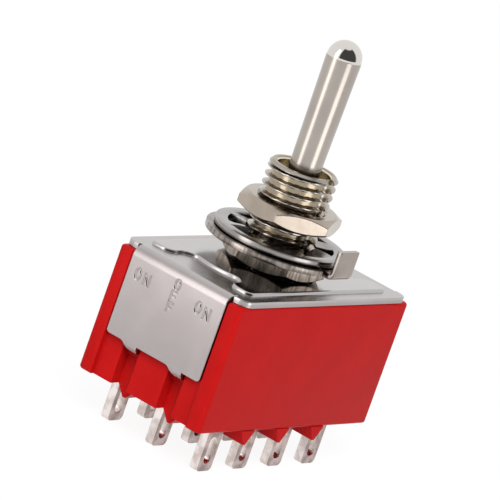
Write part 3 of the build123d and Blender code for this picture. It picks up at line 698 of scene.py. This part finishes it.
# ---- Nuts
# Two thin hexagon nuts, turned and milled from nickel-plated brass bar, both faces
# chamfered, with the bar's fine drawing marks left across the flats.
# The two nuts are one nickel in two colours set by how the light falls: the upper nut's darker
# colour is painted shade, the lower nut's lighter colour painted light, with painted shade on its
# faces that look down.
ring_finish("nut_nickel", ["upper_nut"], (0.375, 0.315, 0.262), (0.435, 0.375, 0.315), 0.12,
            lines=22.0)
ring_finish("lower_nut_nickel", ["lower_nut"], (0.44, 0.37, 0.305), (0.58, 0.50, 0.43), 0.20,
            painted_shade_below=0.25, marks=3e-5)
for name in ("lower_nut", "upper_nut"):
    eased_copy(name, 25.0, 0.05, name)


# ---- Washers
# Blanked from plated spring steel: smooth faces, and an edge that shows the punch's
# upright marks. The lower one has the tab that is bent up; the upper one is toothed inside.
KEY_Z, KEY_T, KEY_R, KEY_HOLE = 1.84, 0.5, 6.25, 3.12
TAB_X, TAB_TOP, TAB_HALF, TAB_BEND = 7.0, 4.4, 1.25, 0.6
TOOTH_X, TOOTH_HALF = 2.6, 0.4
LOCK_T, LOCK_R, LOCK_IN, LOCK_HALF = 0.5, 5.65, 4.6, 0.65
LOCK_Z = KEY_Z + KEY_T + LOCK_HALF * math.sin(math.radians(9.0))


def ring_shell(angle, inside, outside, low, high, edge):
    """A flat ring with rounded edges: round the section in the rows and round the axis in the
    columns, where the two radii may change with the angle."""
    turn = np.radians([0, 30, 60, 90])
    c, s = edge * (1 - np.cos(turn)), edge * (1 - np.sin(turn))
    heights = np.concatenate([low + c, (high - c)[::-1], high - c, (low + c)[::-1]])
    which = np.repeat([1, 0], 2 * len(turn))[:, None]
    move = np.concatenate([-s, -s[::-1], s, s[::-1]])[:, None]
    r = which * outside[None] + (1 - which) * inside[None] + move
    z = heights[:, None] + 0 * r
    return np.stack([r * np.cos(angle)[None], r * np.sin(angle)[None], z], axis=-1)


def steps_at(*edges):
    """Evenly spaced angles round a turn, with a close pair added at each step."""
    even = np.linspace(-np.pi, np.pi, 241)[:-1]
    pairs = np.array([(e - 0.0006, e + 0.0006) for e in edges]).ravel()
    return np.sort(np.concatenate([even, pairs]))


half = math.asin(TAB_HALF / KEY_R)
relief = math.asin((TAB_HALF + 0.35) / KEY_R)
tooth = math.asin(TOOTH_HALF / KEY_HOLE)
angle = steps_at(-relief, -half, -tooth, tooth, half, relief)
size = np.abs(angle)
outside = np.where(size < half, (TAB_X - TAB_BEND) / np.cos(angle), KEY_R)
outside = np.where((size > half) & (size < relief), KEY_R - 0.6, outside)
inside = np.where(size < tooth, TOOTH_X / np.cos(angle), KEY_HOLE)
key_ring = ring_shell(angle, inside, outside, KEY_Z, KEY_Z + KEY_T, 0.04)


def tab_shell():
    """The tab: a section that turns up round its bend, one thickness deep, carried across y
    with rounded sides. Rows run along the section; columns across the outside and back."""
    bend = np.radians(np.linspace(0, 90, 10))
    lift = np.linspace(KEY_Z + TAB_BEND + 0.15, TAB_TOP - 0.05, 8)
    x_mid, z_mid = TAB_X - TAB_BEND, KEY_Z + TAB_BEND
    out_x = np.concatenate([x_mid + TAB_BEND * np.sin(bend), np.full(9, TAB_X)])
    out_z = np.concatenate([z_mid - TAB_BEND * np.cos(bend), lift, [TAB_TOP]])
    inner_r = TAB_BEND - KEY_T
    in_x = np.concatenate([x_mid + inner_r * np.sin(bend), np.full(9, TAB_X - KEY_T)])
    in_z = np.concatenate([z_mid - inner_r * np.cos(bend), lift, [TAB_TOP]])
    out_x[-1] -= 0.05
    in_x[-1] += 0.05
    y = np.concatenate([[-TAB_HALF, -TAB_HALF + 0.02], np.linspace(-1.15, 1.15, 9),
                        [TAB_HALF - 0.02, TAB_HALF]])
    ease = np.zeros(len(y))
    ease[[0, -1]], ease[[1, -2]] = 0.05, 0.015
    t = (ease / KEY_T)[None, :]
    ox, oz, ix, iz = (v[:, None] for v in (out_x, out_z, in_x, in_z))
    outer = np.stack([ox + (ix - ox) * t, y[None] + 0 * ox, oz + (iz - oz) * t], axis=-1)
    inner = np.stack([ix + (ox - ix) * t, y[None] + 0 * ix, iz + (oz - iz) * t], axis=-1)
    grid = np.concatenate([outer, inner[:, ::-1]], axis=1)
    points, faces = quads(grid)
    count = grid.shape[1]
    faces += strip_fill(count) + strip_fill(count, (len(grid) - 1) * count)
    return [(points, faces)]


def tooth_shell(bearing):
    """One inner tooth: a flat bar with rounded edges, carried inwards from the ring and turned
    about its own length, more and more, as the press twists it."""
    share = np.linspace(0, 1, 12)[:, None]
    reach = LOCK_IN + 0.3 - (LOCK_IN + 0.3 - KEY_HOLE) * share
    twist = np.radians(9.0) * np.clip(share * 2.2, 0, 1)
    h, v, e = LOCK_HALF, LOCK_T / 2 - 0.01, 0.05
    side = np.array([(-h + e, -v), (h - e, -v), (h, -v + e), (h, v - e), (h - e, v), (-h + e, v),
                     (-h, v - e), (-h, -v + e)])
    across, up = side[None, :, 0], side[None, :, 1]
    y = across * np.cos(twist) - up * np.sin(twist)
    z = across * np.sin(twist) + up * np.cos(twist) + LOCK_Z + LOCK_T / 2
    x = np.sqrt(np.maximum(reach ** 2 - y ** 2 * share, 0))
    a = math.radians(bearing)
    turned = [x * math.cos(a) - y * math.sin(a), x * math.sin(a) + y * math.cos(a), z]
    points, faces = quads(np.stack(turned, axis=-1))
    ends = [list(range(8)), list(range(len(points) - 8, len(points)))]
    return [(points, faces + ends)]


even = np.linspace(-np.pi, np.pi, 181)[:-1]
lock_ring = ring_shell(even, LOCK_IN + 0 * even, LOCK_R + 0 * even, LOCK_Z, LOCK_Z + LOCK_T, 0.05)
key_washer = welded("locating_washer_pressed", [[quads(key_ring, True)], tab_shell()])
lock_washer = welded("lock_washer_pressed", [
    [quads(lock_ring, True)], *[tooth_shell(10 + 45 * i) for i in range(8)]])
# Both washers have painted shade on the faces that look down.
ring_finish("washer_steel", ["locating_washer"], (0.29, 0.25, 0.225), (0.36, 0.315, 0.285), 0.15,
            painted_shade_below=0.25, marks=2e-5)
ring_finish("lock_washer_steel", ["lock_washer"], (0.29, 0.27, 0.262), (0.35, 0.33, 0.32), 0.15,
            painted_shade_below=0.30)
add_piece("locating_washer_pressed", key_washer, "housing", "locating_washer")
add_piece("lock_washer_pressed", lock_washer, "housing", "lock_washer")


# ---- Lever
# Turned from brass rod and nickel-plated to a soft shine, swelling a little to its domed
# end, with a pivot ball inside the bushing and the cross pin that the ball tilts on.
PIVOT_Z, BALL_R, NECK_R, NECK_L = 4.6, 2.05, 1.35, 2.5
TIP_Z, DOME_R, BAT_R = 20.2, 1.49, 1.515
SHANK_R, WRIST_R, WRIST_Z, TAIL_R, TAIL_Z = 1.25, 0.75, -0.5, 0.95, -2.6
PIN_R, PIN_REACH = 0.4, 2.38


def closed_turning(profile, columns, axis_up):
    """Points and faces of a profile, of radius and height, turned round the z axis, or round a
    level axis along y through the pivot, with its two ends closed."""
    angle = np.linspace(0, 2 * np.pi, columns + 1)[:-1][None, :]
    r, h = profile[:, :1], profile[:, 1:] + 0 * angle
    across, beside = r * np.cos(angle), r * np.sin(angle)
    spot = [across, beside, h] if axis_up else [across, h, PIVOT_Z + beside]
    points, faces = quads(np.stack(spot, axis=-1))
    last = len(points) - columns
    return points, faces + [list(range(columns)), list(range(last, last + columns))]


seam = TIP_Z - DOME_R
dome = arc(0, seam, DOME_R, 90, 3, 22)[1:]
neck_deg = math.degrees(math.acos(NECK_R / BALL_R))
shank_deg = -math.degrees(math.acos(SHANK_R / BALL_R))
ball = arc(0, PIVOT_Z, BALL_R, neck_deg, shank_deg, 24)
tail = arc(0, TAIL_Z, TAIL_R, math.degrees(math.acos(WRIST_R / TAIL_R)), -86, 18)
neck_end = ball[0, 1] + NECK_L
bat = np.concatenate([
    dome, [(DOME_R, seam), (BAT_R, seam - 0.03), (BAT_R, seam - 0.12)],
    [(NECK_R + (BAT_R - NECK_R) * t, neck_end + (seam - 0.025 - neck_end) * t)
     for t in (0.8, 0.6, 0.4, 0.2, 0.0)],
    ball, [(WRIST_R, WRIST_Z)], tail])
pin = np.array([(PIN_R - 0.03, -PIN_REACH), (PIN_R, 0.02 - PIN_REACH),
                (PIN_R, PIN_REACH - 0.02), (PIN_R - 0.03, PIN_REACH)])
lever_mesh = welded("turned_lever", [
    [closed_turning(bat, 96, True)], [closed_turning(pin, 24, False)]])

root, place = finish("lever_nickel", ["lever"])
turned = spread(place, 2500.0, 2.0, 0.5, (0.1, 0.1, 1.0))
cloud = spread(place, 300.0, 3.0)
polished = parts_of(place)[2].step(seam - 0.05, seam - 0.01)
base = cloud.step(0.3, 0.7).mix((0.385, 0.345, 0.31), (0.43, 0.39, 0.35))
base = polished.mix(base, (0.69, 0.66, 0.62))
wrap_up(root, base, 0.20 + 0.06 * cloud - 0.19 * polished, 1.0, turned, 1.5e-6)
add_piece("turned_lever", lever_mesh, "lever", "lever", crease=30.0)
